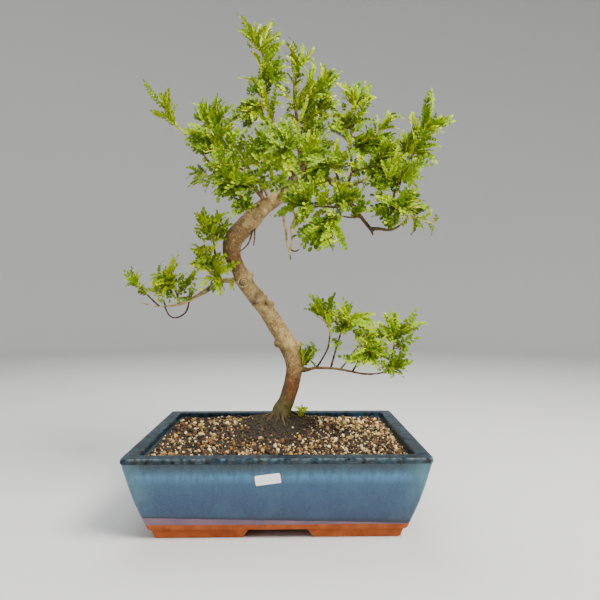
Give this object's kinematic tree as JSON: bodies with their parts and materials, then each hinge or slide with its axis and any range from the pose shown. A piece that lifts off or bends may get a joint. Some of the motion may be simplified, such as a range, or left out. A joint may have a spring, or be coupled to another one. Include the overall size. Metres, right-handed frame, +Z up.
{
  "type": "chinese pepper bonsai",
  "caption": "Small-leaved Chinese pepper bonsai with a curved trunk and open leafy crown, standing in granular soil in a blue glazed rectangular tray.",
  "frame": {"origin": "centre of the tray's footprint, on the table that it stands on", "axes": "+Z up, +X to the right along the tray's long side as seen from the front, +Y to the back, away from the viewer"},
  "size_m": [0.4606, 0.272, 0.6773],
  "materials": {
    "glazed_clay": "mottled blue glaze over orange clay",
    "bonsai_soil": "loose pumice and dark granules",
    "bark": "tan bark, smooth with knots",
    "leaf": "glossy leaflets",
    "young_leaf": "fresh glossy leaflets",
    "paper_label": "blank white paper",
    "mesh_plastic": "black drainage mesh"
  },
  "bodies": {
    "root": {"drain_screen_left": "mesh_plastic", "drain_screen_right": "mesh_plastic", "label": "paper_label", "pot": "glazed_clay", "soil": "bonsai_soil", "spray_arm_end": "leaf", "spray_arm_in": "leaf", "spray_arm_mid": "leaf", "spray_arm_spike": "leaf", "spray_armpit": "leaf", "spray_breast": "leaf", "spray_chest": "leaf", "spray_collar": "leaf", "spray_crown": "leaf", "spray_crown_base": "leaf", "spray_crown_low": "leaf", "spray_crown_side": "leaf", "spray_cuff": "leaf", "spray_dome": "leaf", "spray_dome_front": "leaf", "spray_dome_low": "leaf", "spray_east_mid": "leaf", "spray_east_top": "leaf", "spray_elbow": "leaf", "spray_elbow_low": "leaf", "spray_hand_back": "leaf", "spray_hand_in": "leaf", "spray_hand_left": "leaf", "spray_hand_low": "leaf", "spray_hand_mid": "leaf", "spray_hand_right": "leaf", "spray_heart": "leaf", "spray_hip": "leaf", "spray_horn": "leaf", "spray_horn_low": "leaf", "spray_horn_side": "leaf", "spray_long_arm": "leaf", "spray_nape": "leaf", "spray_nape_low": "leaf", "spray_peak": "leaf", "spray_peak_low": "leaf", "spray_peak_right": "leaf", "spray_rear_east": "leaf", "spray_rear_east_low": "leaf", "spray_rear_mid": "leaf", "spray_rear_top": "leaf", "spray_rear_west": "leaf", "spray_rear_west_low": "leaf", "spray_skirt": "leaf", "spray_skirt_top": "leaf", "spray_sleeve": "leaf", "spray_tassel": "leaf", "spray_throat": "leaf", "spray_trunk_shoot": "leaf", "spray_west_front": "leaf", "spray_west_low": "leaf", "spray_west_side": "leaf", "spray_west_top": "leaf", "sprout": "young_leaf", "tree": "bark"}
  },
  "joints": []
}
